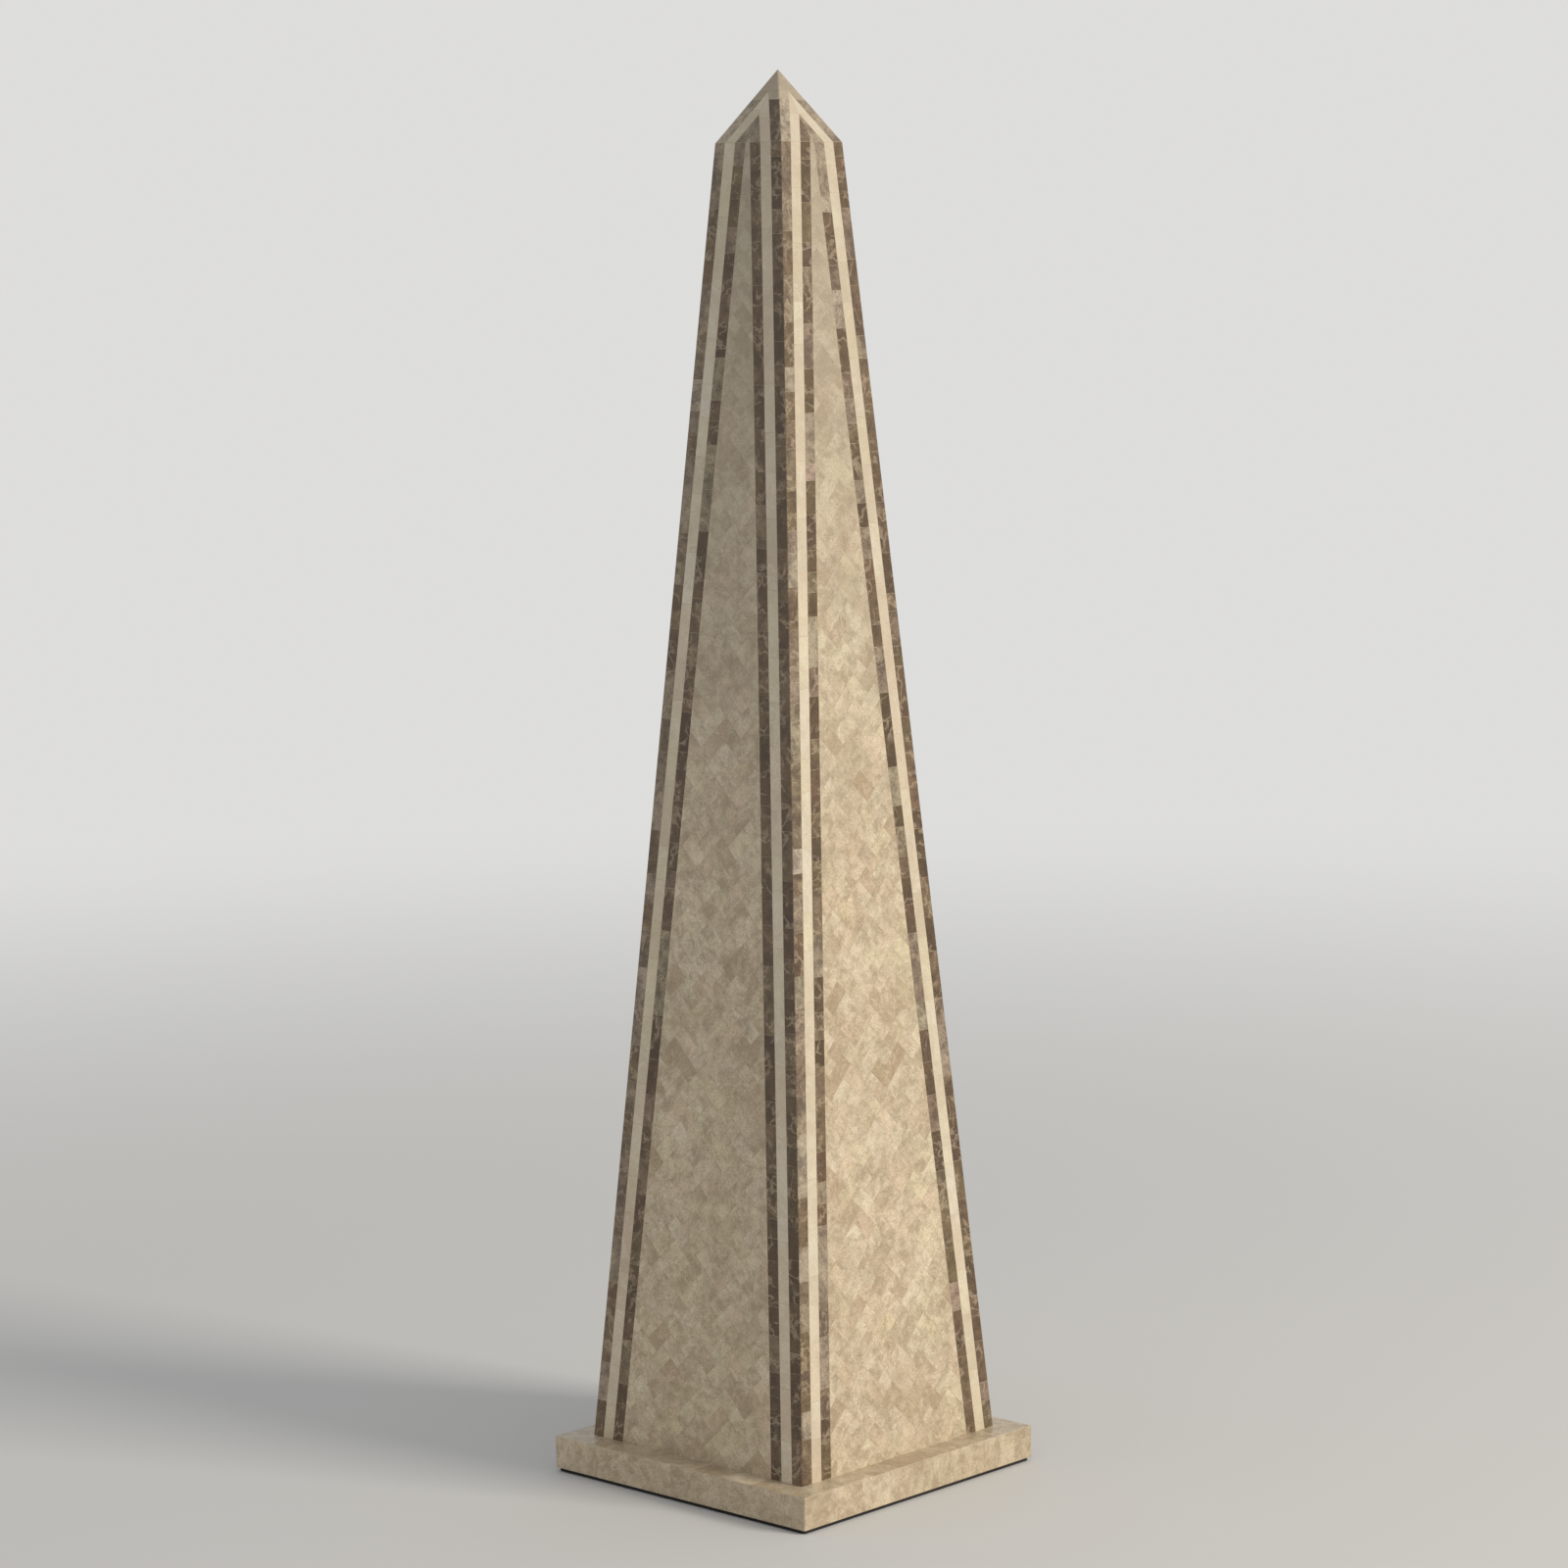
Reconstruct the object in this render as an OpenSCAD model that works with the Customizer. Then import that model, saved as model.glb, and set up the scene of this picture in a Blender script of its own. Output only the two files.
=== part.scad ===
/* [Overall] */
// Height from the floor to the tip of the cap
total_height = 1250; // [900:10:1600]
// Height of the pyramid cap above the shoulder
cap_height = 64; // [40:1:110]

/* [Shaft] */
// Width of the shaft where it meets the plinth
shaft_foot_width = 256; // [200:1:270]
// Width of the shaft at the shoulder, just under the cap
shaft_shoulder_width = 79; // [78:1:120]
// Width of each of the three strips beside an arris
strip_width = 12.3; // [8:0.1:12.9]

/* [Plinth] */
// Width of the square plinth
plinth_width = 305; // [280:1:360]
// Thickness of the plinth, stone included
plinth_thickness = 29; // [20:1:50]
// Thickness of the dark pad under the plinth
pad_thickness = 3.5; // [2:0.5:8]
// How far the pad is set back from the plinth's edge
pad_setback = 2; // [1:0.5:12]

/* [Materials] */
// Thickness of the stone veneer
stone_thickness = 4; // [3:0.5:8]
// Thickness of the plywood boards under the veneer
board_thickness = 12; // [9:1:18]
// Gap between the shaft's boards and the plinth's veneer around them
fitting_gap = 0.3; // [0.1:0.1:0.6]

/* [Hidden] */
SIDES = ["front", "right", "back", "left"];
SIDE_PIECES = ["board", "field", "inner_strips", "cream_strips", "corner_strips",
               "cap_centre", "cap_band", "cap_border", "plinth_top", "plinth_edge"];

quarter_turn = 90;
brown_stone = [0.40, 0.33, 0.26];
cream_stone = [0.86, 0.80, 0.68];
beige_stone = [0.76, 0.68, 0.55];
plywood = [0.72, 0.58, 0.40];
pad_felt = [0.10, 0.09, 0.08];

// Levels, from the floor up
plinth_level = pad_thickness + plinth_thickness;
board_foot = plinth_level - stone_thickness;
plinth_half = plinth_width / 2;
shoulder = total_height - cap_height;

// The shaft's slope, in the plane of a face and away from the vertical
shaft_foot = shaft_foot_width / 2;
shaft_shoulder = shaft_shoulder_width / 2;
shaft_rise = shoulder - plinth_level;
shaft_taper = shaft_foot - shaft_shoulder;
shaft_length = norm([shaft_taper, shaft_rise]);
shaft_tilt = atan(shaft_taper / shaft_rise);

// How far the boards reach from the shaft's axis where they stand on the plinth
board_edge = shaft_foot - stone_thickness / cos(shaft_tilt) + stone_thickness * tan(shaft_tilt);

// The cap's slope, likewise
cap_length = norm([shaft_shoulder, cap_height]);
cap_tilt = atan(shaft_shoulder / cap_height);

// Flat outlines run past the level cuts by this much
cladding = stone_thickness + board_thickness;
shaft_overrun = 2 * cladding * tan(shaft_tilt);
foot_overrun = 2 * stone_thickness;
cap_overrun = 2 * stone_thickness * tan(cap_tilt);
reach = plinth_width;

// Half width of a shaft face, up the slope, in from the arris by some strips
function shaft_half(up, strips) =
    shaft_foot - shaft_taper * up / shaft_length - strips * strip_width;

// Half width of a cap face, up the slope, in from the hip by some strips
function cap_half(up, strips) =
    shaft_shoulder * (1 - up / cap_length) - strips * strip_width;

// Where a cap face, in from the hip by some strips, comes to a point
function cap_point(strips) =
    cap_length * (1 - strips * strip_width / shaft_shoulder);

// The quarter of the plan in front of the two mitre planes
module front_quarter(low, high) {
    translate([0, 0, low])
        linear_extrude(height = high - low)
            polygon([[0, 0], [reach, -reach], [-reach, -reach]]);
}

// A flat outline laid on the front slope, some way under its outer face
module on_slope(foot, level, tilt, depth, thickness) {
    translate([0, -foot, level])
        rotate([90 - tilt, 0, 0])
            translate([0, 0, -depth - thickness])
                linear_extrude(height = thickness)
                    children();
}

module shaft_layer(depth, thickness, low) {
    intersection() {
        on_slope(shaft_foot, plinth_level, shaft_tilt, depth, thickness)
            children();
        front_quarter(low, shoulder);
    }
}

module cap_layer() {
    intersection() {
        on_slope(shaft_shoulder, shoulder, cap_tilt, 0, stone_thickness)
            children();
        front_quarter(shoulder, total_height + stone_thickness);
    }
}

// The outline of the face from arris to arris, in by some strips
module shaft_outline(strips) {
    low = -foot_overrun;
    high = shaft_length + shaft_overrun;
    polygon([
        [-shaft_half(low, strips), low],
        [shaft_half(low, strips), low],
        [shaft_half(high, strips), high],
        [-shaft_half(high, strips), high]
    ]);
}

// The right-hand band between two strip lines, counted in from the arris
module shaft_band(outer, inner) {
    low = -foot_overrun;
    high = shaft_length + shaft_overrun;
    polygon([
        [shaft_half(low, inner), low],
        [shaft_half(low, outer), low],
        [shaft_half(high, outer), high],
        [shaft_half(high, inner), high]
    ]);
}

module band_pair(outer, inner) {
    for (flip = [0, 1])
        mirror([flip, 0, 0])
            shaft_layer(0, stone_thickness, plinth_level)
                shaft_band(outer, inner);
}

// A cap face, in from the hip by some strips
module cap_outline(strips) {
    low = -cap_overrun;
    polygon([
        [-cap_half(low, strips), low],
        [cap_half(low, strips), low],
        [0, cap_point(strips)]
    ]);
}

// The two bands that meet over the middle of a cap face
module cap_chevron(outer, inner) {
    low = -cap_overrun;
    polygon([
        [cap_half(low, outer), low],
        [0, cap_point(outer)],
        [-cap_half(low, outer), low],
        [-cap_half(low, inner), low],
        [0, cap_point(inner)],
        [cap_half(low, inner), low]
    ]);
}

module base_pad() {
    pad_width = plinth_width - 2 * pad_setback;
    color(pad_felt)
        translate([-pad_width / 2, -pad_width / 2, 0])
            cube([pad_width, pad_width, pad_thickness]);
}

module plinth_board() {
    board_width = plinth_width - 2 * stone_thickness;
    color(plywood)
        translate([-board_width / 2, -board_width / 2, pad_thickness])
            cube([board_width, board_width, board_foot - pad_thickness]);
}

// A profile of distance from the axis and height, run along the front and mitred
module plinth_run(profile) {
    intersection() {
        translate([-reach, 0, 0])
            rotate([quarter_turn, 0, quarter_turn])
                linear_extrude(height = 2 * reach)
                    polygon([for (corner = profile) [-corner[0], corner[1]]]);
        front_quarter(0, shoulder);
    }
}

// A side of the veneer around the shaft's boards, which pass down through it
module plinth_top() {
    inner = board_edge + fitting_gap;
    color(beige_stone)
        plinth_run([
            [plinth_half, plinth_level],
            [inner, plinth_level],
            [inner, board_foot],
            [plinth_half - stone_thickness, board_foot]
        ]);
}

module plinth_edge() {
    color(beige_stone)
        plinth_run([
            [plinth_half, pad_thickness],
            [plinth_half, plinth_level],
            [plinth_half - stone_thickness, board_foot],
            [plinth_half - stone_thickness, pad_thickness]
        ]);
}

// A mitred side of the hollow box that carries the shaft's veneer
module board() {
    color(plywood)
        shaft_layer(stone_thickness, board_thickness, board_foot)
            shaft_outline(-1);
}

module field() {
    color(beige_stone)
        shaft_layer(0, stone_thickness, plinth_level)
            shaft_outline(3);
}

module inner_strips() {
    color(brown_stone) band_pair(2, 3);
}

module cream_strips() {
    color(cream_stone) band_pair(1, 2);
}

// The outer line lies past the arris, so the mitre cuts these strips
module corner_strips() {
    color(brown_stone) band_pair(-1, 1);
}

// The solid wooden point, where two wedges of the cap's slope cross
module cap_block() {
    half = shaft_shoulder - stone_thickness / cos(cap_tilt);
    rise = half / tan(cap_tilt);
    color(plywood)
        translate([0, 0, shoulder])
            intersection() {
                cap_wedge(half, rise);
                rotate([0, 0, quarter_turn]) cap_wedge(half, rise);
            }
}

module cap_wedge(half, rise) {
    translate([0, half, 0])
        rotate([90, 0, 0])
            linear_extrude(height = 2 * half)
                polygon([[-half, 0], [half, 0], [0, rise]]);
}

module cap_centre() {
    color(brown_stone) cap_layer() cap_outline(2);
}

module cap_band() {
    color(cream_stone) cap_layer() cap_chevron(1, 2);
}

// The outer line lies past the hip, so the mitre cuts this border
module cap_border() {
    color(brown_stone) cap_layer() cap_chevron(-1, 1);
}

module side_piece(piece) {
    if (piece == "board") board();
    if (piece == "field") field();
    if (piece == "inner_strips") inner_strips();
    if (piece == "cream_strips") cream_strips();
    if (piece == "corner_strips") corner_strips();
    if (piece == "cap_centre") cap_centre();
    if (piece == "cap_band") cap_band();
    if (piece == "cap_border") cap_border();
    if (piece == "plinth_top") plinth_top();
    if (piece == "plinth_edge") plinth_edge();
}

base_pad();
plinth_board();
cap_block();
for (turn = [0:3])
    for (piece = SIDE_PIECES)
        rotate([0, 0, quarter_turn * turn]) side_piece(piece);
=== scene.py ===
import math
import random

import bmesh
import bpy
from mathutils import Euler, Matrix, Vector


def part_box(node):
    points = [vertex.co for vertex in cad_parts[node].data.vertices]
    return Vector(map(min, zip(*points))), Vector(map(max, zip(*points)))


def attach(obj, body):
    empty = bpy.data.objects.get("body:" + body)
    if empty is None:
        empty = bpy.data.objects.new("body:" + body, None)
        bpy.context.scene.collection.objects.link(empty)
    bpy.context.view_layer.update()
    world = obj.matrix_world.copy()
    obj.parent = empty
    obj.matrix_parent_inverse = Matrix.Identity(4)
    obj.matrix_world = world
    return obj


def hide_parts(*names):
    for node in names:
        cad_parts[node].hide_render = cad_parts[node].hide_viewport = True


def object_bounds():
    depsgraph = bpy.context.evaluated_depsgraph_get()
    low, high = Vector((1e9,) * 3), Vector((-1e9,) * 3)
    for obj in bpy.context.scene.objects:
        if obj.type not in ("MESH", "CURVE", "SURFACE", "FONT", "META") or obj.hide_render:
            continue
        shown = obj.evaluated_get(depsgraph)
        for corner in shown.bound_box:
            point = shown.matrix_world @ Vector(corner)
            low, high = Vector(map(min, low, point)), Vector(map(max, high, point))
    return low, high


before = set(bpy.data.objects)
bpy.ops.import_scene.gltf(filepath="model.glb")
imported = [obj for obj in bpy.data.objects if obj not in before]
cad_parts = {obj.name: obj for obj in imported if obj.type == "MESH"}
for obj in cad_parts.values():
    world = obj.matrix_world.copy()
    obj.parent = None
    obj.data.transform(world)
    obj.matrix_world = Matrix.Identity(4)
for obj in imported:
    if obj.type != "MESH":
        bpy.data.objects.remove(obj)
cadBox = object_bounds()
mm = 0.001
sides = ["front", "right", "back", "left"]
print("frame loaded:", len(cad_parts), "nodes")

# Sizes of the object, read from the frame.
tip = cadBox[1].z
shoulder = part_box("front_field")[1].z
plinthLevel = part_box("front_field")[0].z
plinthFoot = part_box("front_plinth_edge")[0].z
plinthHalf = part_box("front_plinth_edge")[1].x
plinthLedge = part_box("front_plinth_top")[1].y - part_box("front_plinth_top")[0].y
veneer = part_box("front_plinth_top")[1].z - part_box("front_plinth_top")[0].z
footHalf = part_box("front_corner_strips")[1].x
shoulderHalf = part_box("front_cap_border")[1].x
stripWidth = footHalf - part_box("front_cream_strips")[1].x

shaftRise = shoulder - plinthLevel
shaftTilt = math.atan2(footHalf - shoulderHalf, shaftRise)
shaftLength = shaftRise / math.cos(shaftTilt)
capTilt = math.atan2(shoulderHalf, tip - shoulder)
capLength = (tip - shoulder) / math.cos(capTilt)


# The camera. Distances are in heights of the obelisk, angles in degrees and the lens in millimetres.
cameraView = {
    "azimuth": -47.16,
    "distance": 3.042,
    "height": 0.874,
    "heading": -47.13,
    "pitch": 7.05,
    "roll": 0.68,
    "lens": 99,
}


def makeCamera(view):
    azimuth, heading, pitch, roll = (
        math.radians(view[key]) for key in ("azimuth", "heading", "pitch", "roll")
    )
    camera = bpy.data.objects.new("camera", bpy.data.cameras.new("camera"))
    bpy.context.scene.collection.objects.link(camera)
    camera.data.lens = view["lens"]
    camera.location = Vector((math.sin(azimuth), -math.cos(azimuth), 0)) * view["distance"] * tip
    camera.location.z = view["height"] * tip
    turned = Matrix.Rotation(heading, 3, "Z") @ Matrix.Rotation(math.pi / 2 - pitch, 3, "X")
    camera.rotation_euler = (turned @ Matrix.Rotation(-roll, 3, "Z")).to_euler()
    bpy.context.scene.camera = camera


makeCamera(cameraView)


# Shader helpers. Colours are given as they look on a screen.
screenCurve = {"lift": 0.055, "power": 2.4}


def paint(red, green, blue):
    lift, power = screenCurve["lift"], screenCurve["power"]
    linear = [((share + lift) / (1 + lift)) ** power for share in (red, green, blue)]
    return (*linear, 1)


def plug(tree, value, socket):
    # links another node's socket, or sets a fixed value
    if isinstance(value, bpy.types.NodeSocket):
        tree.links.new(value, socket)
    else:
        socket.default_value = value


def addNode(tree, kind, settings=None, inputs=None):
    node = tree.nodes.new(kind)
    for name, value in (settings or {}).items():
        setattr(node, name, value)
    for name, value in (inputs or {}).items():
        plug(tree, value, node.inputs[name])
    return node


mixSockets = {"share": 0, "first": 6, "second": 7, "result": 2}  # where a Mix node keeps its colours


def blendColours(tree, share, first, second, mode="MIX"):
    # mixes two colours, each a socket or a fixed colour, by a share
    node = addNode(tree, "ShaderNodeMix", {"data_type": "RGBA", "blend_type": mode})
    for key, value in (("share", share), ("first", first), ("second", second)):
        plug(tree, value, node.inputs[mixSockets[key]])
    return node.outputs[mixSockets["result"]]


def spread(tree, value, fromLow, fromHigh, toLow=0.0, toHigh=1.0, smooth=False):
    # stretches a value from one range to another
    kind = {"interpolation_type": "SMOOTHSTEP" if smooth else "LINEAR"}
    limits = {"From Min": fromLow, "From Max": fromHigh, "To Min": toLow, "To Max": toHigh}
    return addNode(tree, "ShaderNodeMapRange", kind, {"Value": value, **limits}).outputs["Result"]


def arithmetic(tree, operation, first, second=0.0):
    node = addNode(tree, "ShaderNodeMath", {"operation": operation})
    for socket, value in zip(node.inputs, (first, second)):
        plug(tree, value, socket)
    return node.outputs[0]


def noise(tree, place, scale, detail=3, roughness=0.55, distortion=0.0):
    character = {"Detail": detail, "Roughness": roughness, "Distortion": distortion}
    node = addNode(tree, "ShaderNodeTexNoise", inputs={"Vector": place, "Scale": scale, **character})
    return node.outputs[0]


noiseRange = (0.3, 0.7)  # nearly all of a noise's values lie between these


def newGroup(name, inputs, outputs):
    tree = bpy.data.node_groups.new(name, "ShaderNodeTree")
    for label, value in inputs.items():
        kind = "NodeSocketVector" if value is None else "NodeSocketFloat"
        socket = tree.interface.new_socket(label, in_out="INPUT", socket_type=kind)
        if value is not None:
            socket.default_value = value
    for label in outputs:
        tree.interface.new_socket(label, in_out="OUTPUT", socket_type="NodeSocketFloat")
    return tree, tree.nodes.new("NodeGroupInput").outputs, tree.nodes.new("NodeGroupOutput").inputs


def useGroup(tree, group, inputs):
    return addNode(tree, "ShaderNodeGroup", {"node_tree": group}, inputs).outputs


# Cloudy patches of two sizes and fine grain inside a stone.
figureLook = {"largeScale": 0.3, "smallShare": 0.6, "largeShare": 0.4, "patchesFrom": 0.38, "patchesTo": 0.64}


def makeFigureGroup(look):
    tree, given, result = newGroup(
        "stoneFigure", {"Place": None, "Patch Scale": 120.0, "Grain Scale": 650.0}, ["Patches", "Grain"])
    largeScale = arithmetic(tree, "MULTIPLY", given["Patch Scale"], look["largeScale"])
    small = noise(tree, given["Place"], given["Patch Scale"], detail=5, roughness=0.66, distortion=0.2)
    large = noise(tree, given["Place"], largeScale, detail=2, roughness=0.5, distortion=0.3)
    small = arithmetic(tree, "MULTIPLY", small, look["smallShare"])
    large = arithmetic(tree, "MULTIPLY", large, look["largeShare"])
    both = arithmetic(tree, "ADD", small, large)
    tree.links.new(spread(tree, both, look["patchesFrom"], look["patchesTo"], smooth=True), result["Patches"])
    grain = noise(tree, given["Place"], given["Grain Scale"], detail=2, roughness=0.6)
    tree.links.new(grain, result["Grain"])
    return tree


# Thin lines that wander through a stone and fade in and out.
veinLook = {"middle": 0.5, "breakScale": 0.7, "hiddenFrom": 0.4, "shownFrom": 0.6}


def makeVeinGroup(look):
    tree, given, result = newGroup(
        "stoneVeins", {"Place": None, "Vein Scale": 60.0, "Vein Width": 0.03}, ["Veins"])
    field = noise(tree, given["Place"], given["Vein Scale"], detail=3, roughness=0.5, distortion=0.35)
    away = arithmetic(tree, "ABSOLUTE", arithmetic(tree, "SUBTRACT", field, look["middle"]))
    line = spread(tree, away, 0.0, given["Vein Width"], 1.0, 0.0, smooth=True)
    breakScale = arithmetic(tree, "MULTIPLY", given["Vein Scale"], look["breakScale"])
    breaks = noise(tree, given["Place"], breakScale, detail=1)
    shown = spread(tree, breaks, look["hiddenFrom"], look["shownFrom"], smooth=True)
    tree.links.new(arithmetic(tree, "MULTIPLY", line, shown), result["Veins"])
    return tree


# Dirt and wear that gather along the edges of a stone.
rimLook = {"falloff": 1.4, "leastWear": 0.45}


def makeRimGroup(look):
    tree, given, result = newGroup(
        "edgeWear", {"Place": None, "Rim": 0.0, "Patch Scale": 90.0, "Amount": 0.5}, ["Wear"])
    patches = noise(tree, given["Place"], given["Patch Scale"], detail=2)
    patchy = spread(tree, patches, *noiseRange, look["leastWear"], 1.0)
    wear = arithmetic(tree, "MULTIPLY", arithmetic(tree, "POWER", given["Rim"], look["falloff"]), patchy)
    tree.links.new(arithmetic(tree, "MULTIPLY", wear, given["Amount"]), result["Wear"])
    return tree


# Broad, faint marks of handling over the whole object, and a darker, greyer colour towards its upper part.
marksAndTopLook = {
    "marksFrom": 0.35,
    "marksTo": 0.7,
    "unevenness": 0.24 * tip,
    "dullFrom": 0.544 * tip,
    "dullTo": 1.04 * tip,
}


def makeMarksAndTopGroup(look):
    tree, given, result = newGroup("surfaceMarksAndTop", {"Place": None, "Mark Scale": 7.0}, ["Marks", "Dulling"])
    broad = noise(tree, given["Place"], given["Mark Scale"], detail=5, roughness=0.62, distortion=0.4)
    tree.links.new(spread(tree, broad, look["marksFrom"], look["marksTo"], smooth=True), result["Marks"])
    level = addNode(tree, "ShaderNodeSeparateXYZ", inputs={"Vector": given["Place"]}).outputs["Z"]
    uneven = arithmetic(tree, "ADD", level, arithmetic(tree, "MULTIPLY", broad, look["unevenness"]))
    tree.links.new(spread(tree, uneven, look["dullFrom"], look["dullTo"]), result["Dulling"])
    return tree


figureGroup = makeFigureGroup(figureLook)
veinGroup = makeVeinGroup(veinLook)
rimGroup = makeRimGroup(rimLook)
marksAndTopGroup = makeMarksAndTopGroup(marksAndTopLook)

# The finish that all the stones share.
stoneFinish = {
    "markScale": 16,
    "markDulling": 0.3,
    "patchRelief": 0.5,
    "bump": 0.25,
    "relief": 0.03 * mm,
}

# Each kind of stone: its range of tones from one stone to the next, then what shows inside a stone.
beigeLook = {
    "tones": [
        (0.00, paint(0.68, 0.595, 0.48)),
        (0.08, paint(0.755, 0.68, 0.575)),
        (0.25, paint(0.805, 0.735, 0.625)),
        (1.00, paint(0.835, 0.775, 0.665)),
    ],
    "tints": [
        (0.00, paint(1, 1, 0.96)),
        (0.50, paint(1, 1, 1)),
        (1.00, paint(1, 0.97, 0.955)),
    ],
    "patchColour": paint(0.615, 0.54, 0.43),
    "patchShare": 0.78,
    "patchScale": 115,
    "grainShare": 0.19,
    "veinColour": paint(0.88, 0.82, 0.72),
    "veinShare": 0.30,
    "veinScale": 110,
    "veinWidth": 0.10,
    "rimColour": paint(0.60, 0.52, 0.41),
    "rimAmount": 0.12,
    "markShare": 0.24,
    "topColour": paint(0.60, 0.555, 0.48),
    "dulling": 0.62,
    "roughness": (0.26, 0.44),
}
creamLook = {
    "tones": [
        (0.00, paint(0.785, 0.72, 0.625)),
        (0.30, paint(0.82, 0.765, 0.67)),
        (0.70, paint(0.84, 0.785, 0.69)),
        (1.00, paint(0.855, 0.81, 0.725)),
    ],
    "tints": [
        (0.00, paint(1, 1, 0.96)),
        (0.50, paint(1, 1, 1)),
        (1.00, paint(1, 0.975, 0.96)),
    ],
    "patchColour": paint(0.73, 0.655, 0.55),
    "patchShare": 0.45,
    "patchScale": 90,
    "grainShare": 0.08,
    "veinColour": paint(0.89, 0.85, 0.775),
    "veinShare": 0.35,
    "veinScale": 55,
    "veinWidth": 0.04,
    "rimColour": paint(0.62, 0.54, 0.44),
    "rimAmount": 0.14,
    "markShare": 0.12,
    "topColour": paint(0.66, 0.605, 0.525),
    "dulling": 0.30,
    "roughness": (0.24, 0.40),
}
brownLook = {
    "tones": [
        (0.00, paint(0.35, 0.27, 0.185)),
        (0.30, paint(0.43, 0.345, 0.25)),
        (0.55, paint(0.49, 0.405, 0.305)),
        (0.75, paint(0.565, 0.495, 0.42)),
        (0.90, paint(0.65, 0.585, 0.505)),
        (1.00, paint(0.745, 0.685, 0.61)),
    ],
    "tints": [
        (0.00, paint(0.97, 1, 0.91)),
        (0.45, paint(1, 1, 0.98)),
        (0.80, paint(1, 0.98, 0.98)),
        (1.00, paint(1, 0.93, 0.94)),
    ],
    "patchColour": paint(0.27, 0.20, 0.14),
    "patchShare": 0.68,
    "patchScale": 140,
    "grainShare": 0.24,
    "veinColour": paint(0.72, 0.64, 0.53),
    "veinShare": 0.5,
    "veinScale": 75,
    "veinWidth": 0.06,
    "rimColour": paint(0.30, 0.24, 0.175),
    "rimAmount": 0.18,
    "markShare": 0.10,
    "topColour": paint(0.47, 0.41, 0.33),
    "dulling": 0.10,
    "roughness": (0.22, 0.38),
}


def makeRamp(tree, value, stops):
    ramp = addNode(tree, "ShaderNodeValToRGB")
    while len(ramp.color_ramp.elements) < len(stops):
        ramp.color_ramp.elements.new(0.5)  # put in its place below
    for element, (position, colour) in zip(ramp.color_ramp.elements, stops):
        element.position = position
        element.color = colour
    tree.links.new(value, ramp.inputs[0])
    return ramp.outputs[0]


def newMaterial(name):
    material = bpy.data.materials.new(name)
    material.use_nodes = True
    tree = material.node_tree
    return material, tree, tree.nodes["Principled BSDF"].inputs


def addBump(tree, height, strength, distance, shader):
    bump = addNode(tree, "ShaderNodeBump", inputs={"Strength": strength, "Distance": distance})
    tree.links.new(height, bump.inputs["Height"])
    tree.links.new(bump.outputs[0], shader["Normal"])


def stoneMaterial(name, look):
    material, tree, shader = newMaterial(name)
    tone, tint, rim = (
        addNode(tree, "ShaderNodeAttribute", {"attribute_name": key}).outputs["Fac"]
        for key in ("stoneTone", "stoneTint", "stoneRim")
    )
    slab = addNode(tree, "ShaderNodeAttribute", {"attribute_name": "slabPlace"}).outputs["Vector"]
    place = addNode(tree, "ShaderNodeTexCoord").outputs["Object"]

    figure = useGroup(tree, figureGroup, {"Place": slab, "Patch Scale": look["patchScale"]})
    veins = useGroup(tree, veinGroup, {
        "Place": slab, "Vein Scale": look["veinScale"], "Vein Width": look["veinWidth"]})
    wear = useGroup(tree, rimGroup, {"Place": place, "Rim": rim, "Amount": look["rimAmount"]})
    marks = useGroup(tree, marksAndTopGroup, {"Place": place, "Mark Scale": stoneFinish["markScale"]})

    colour = makeRamp(tree, tone, look["tones"])
    colour = blendColours(tree, 1.0, colour, makeRamp(tree, tint, look["tints"]), "MULTIPLY")
    patchy = arithmetic(tree, "MULTIPLY", figure["Patches"], look["patchShare"])
    colour = blendColours(tree, patchy, colour, look["patchColour"])
    veined = arithmetic(tree, "MULTIPLY", veins["Veins"], look["veinShare"])
    colour = blendColours(tree, veined, colour, look["veinColour"])
    speckle = spread(tree, figure["Grain"], *noiseRange, 1 - look["grainShare"], 1 + look["grainShare"])
    scaled = {"Vector": colour, "Scale": speckle}
    speckled = addNode(tree, "ShaderNodeVectorMath", {"operation": "SCALE"}, scaled)
    colour = blendColours(tree, wear["Wear"], speckled.outputs[0], look["rimColour"])
    aged = arithmetic(tree, "MULTIPLY", marks["Marks"], look["markShare"])
    colour = blendColours(tree, aged, colour, look["rimColour"])
    # the colour turns darker and greyer higher up the object
    dulled = arithmetic(tree, "MULTIPLY", marks["Dulling"], look["dulling"])
    colour = blendColours(tree, dulled, colour, look["topColour"])
    tree.links.new(colour, shader["Base Color"])

    handled = arithmetic(tree, "MULTIPLY", marks["Marks"], stoneFinish["markDulling"])
    rubbed = arithmetic(tree, "ADD", figure["Grain"], handled)
    roughest = noiseRange[1] + stoneFinish["markDulling"]
    tree.links.new(spread(tree, rubbed, noiseRange[0], roughest, *look["roughness"]), shader["Roughness"])
    cloudy = arithmetic(tree, "MULTIPLY", figure["Patches"], stoneFinish["patchRelief"])
    height = arithmetic(tree, "ADD", figure["Grain"], cloudy)
    addBump(tree, height, stoneFinish["bump"], stoneFinish["relief"], shader)
    return material


# The filler between the stones, in colours near the stones' own and lifted a little, as painted light that
# offsets the shade in the narrow joints.
fillerLook = {
    "pale": paint(0.80, 0.72, 0.60),
    "dark": paint(0.68, 0.60, 0.49),
    "patchScale": 60,
    "grainScale": 1400,
    "roughness": (0.7, 0.9),
    "bump": 0.5,
    "relief": 0.05 * mm,
}


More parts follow.
